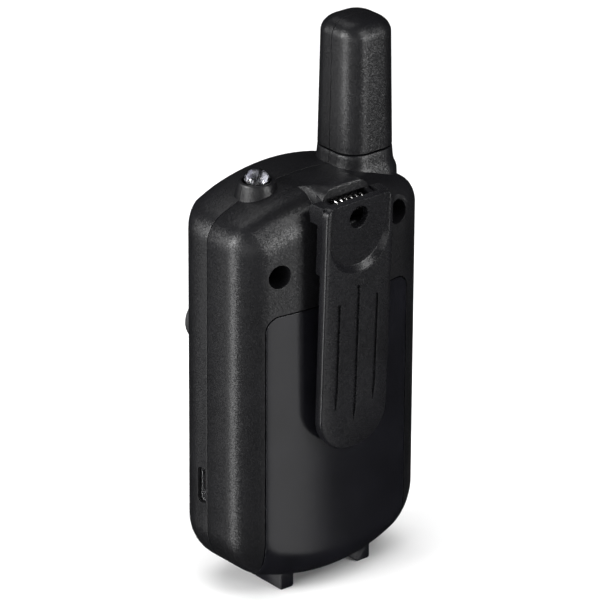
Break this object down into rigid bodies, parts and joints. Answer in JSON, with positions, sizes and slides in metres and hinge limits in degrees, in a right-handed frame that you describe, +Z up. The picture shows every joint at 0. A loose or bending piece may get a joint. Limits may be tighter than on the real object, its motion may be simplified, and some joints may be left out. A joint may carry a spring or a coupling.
{
  "type": "portable two-way radio",
  "caption": "Compact hand-held two-way radio with a stub antenna, top torch, hinged belt clip, sliding battery door, push-to-talk button and front keys.",
  "frame": {"origin": "centre of the footprint, at floor level under the skids", "axes": "+Z up towards the antenna, -Y front with display and keys, +Y back with belt clip and battery door, -X side with the talk button"},
  "size_m": [0.0494, 0.0304, 0.117],
  "materials": {
    "shell_plastic": "black moulded plastic with a coarse spark texture, semi-matt",
    "door_plastic": "black moulded plastic, finer and smoother grain",
    "antenna_plastic": "black moulded plastic with a coarse spark texture",
    "clip_plastic": "black moulded plastic with a fine texture and polished edges",
    "key_rubber": "dark silky rubber",
    "silicone_mat": "grey silicone",
    "clear_lens": "water-clear moulded lens",
    "display_window": "clear glossy window",
    "display_glass": "grey-green reflective display",
    "circuit_board": "green solder mask",
    "inner_moulding": "black moulding",
    "speaker_frame": "plated steel",
    "cell_sleeve": "plain metallised sleeve",
    "steel": "bright plated steel",
    "copper_wire": "enamelled copper"
  },
  "bodies": {
    "case": {"front_shell": "shell_plastic", "rear_shell": "shell_plastic", "antenna_front_cover": "antenna_plastic", "antenna_rear_cover": "antenna_plastic", "antenna_coil": "copper_wire", "antenna_core": "inner_moulding", "torch_led": "clear_lens", "clip_pin": "steel", "clip_spring": "steel", "keypad_mat": "silicone_mat", "switch_menu": "inner_moulding", "switch_light": "inner_moulding", "switch_up": "inner_moulding", "switch_down": "inner_moulding", "switch_talk": "inner_moulding", "display_window": "display_window", "display_module": "display_glass", "main_board": "circuit_board", "shield_can": "steel", "controller_chip": "inner_moulding", "loudspeaker": "speaker_frame", "microphone": "speaker_frame", "usb_socket": "steel", "cell_1": "cell_sleeve", "cell_2": "cell_sleeve", "cell_3": "cell_sleeve", "cell_spring_1": "steel", "cell_spring_2": "steel", "cell_spring_3": "steel", "contact_low_single": "steel", "contact_low_bridge": "steel", "contact_high_bridge": "steel", "contact_high_single": "steel", "case_screw_1": "steel", "case_screw_2": "steel", "case_screw_3": "steel", "case_screw_4": "steel"},
    "clip": {"belt_clip": "clip_plastic"},
    "door": {"battery_door": "door_plastic"},
    "talk": {"talk_button": "key_rubber"},
    "menu": {"key_menu": "key_rubber"},
    "light": {"key_light": "key_rubber"},
    "up": {"key_up": "key_rubber"},
    "down": {"key_down": "key_rubber"}
  },
  "joints": [
    {"name": "clip_hinge", "type": "hinge", "parent": "case", "child": "clip", "pos_m": [0.00075, 0.01092, 0.0844], "axis": [1, 0, 0], "range_deg": [0, 16], "stiffness_Nm_per_rad": 0.08, "springref_deg": -28.65},
    {"name": "door_slide", "type": "slide", "parent": "case", "child": "door", "axis": [0, 0, -1], "range_m": [0, 0.055]},
    {"name": "talk_press", "type": "slide", "parent": "case", "child": "talk", "axis": [1, 0, 0], "range_m": [0, 0.0008], "stiffness_N_per_m": 1500, "springref_m": -0.0003},
    {"name": "menu_press", "type": "slide", "parent": "case", "child": "menu", "axis": [0, 1, 0], "range_m": [0, 0.0005], "stiffness_N_per_m": 1500, "springref_m": -0.0002},
    {"name": "light_press", "type": "slide", "parent": "case", "child": "light", "axis": [0, 1, 0], "range_m": [0, 0.0005], "stiffness_N_per_m": 1500, "springref_m": -0.0002},
    {"name": "up_press", "type": "slide", "parent": "case", "child": "up", "axis": [0, 1, 0], "range_m": [0, 0.0005], "stiffness_N_per_m": 1500, "springref_m": -0.0002},
    {"name": "down_press", "type": "slide", "parent": "case", "child": "down", "axis": [0, 1, 0], "range_m": [0, 0.0005], "stiffness_N_per_m": 1500, "springref_m": -0.0002}
  ]
}
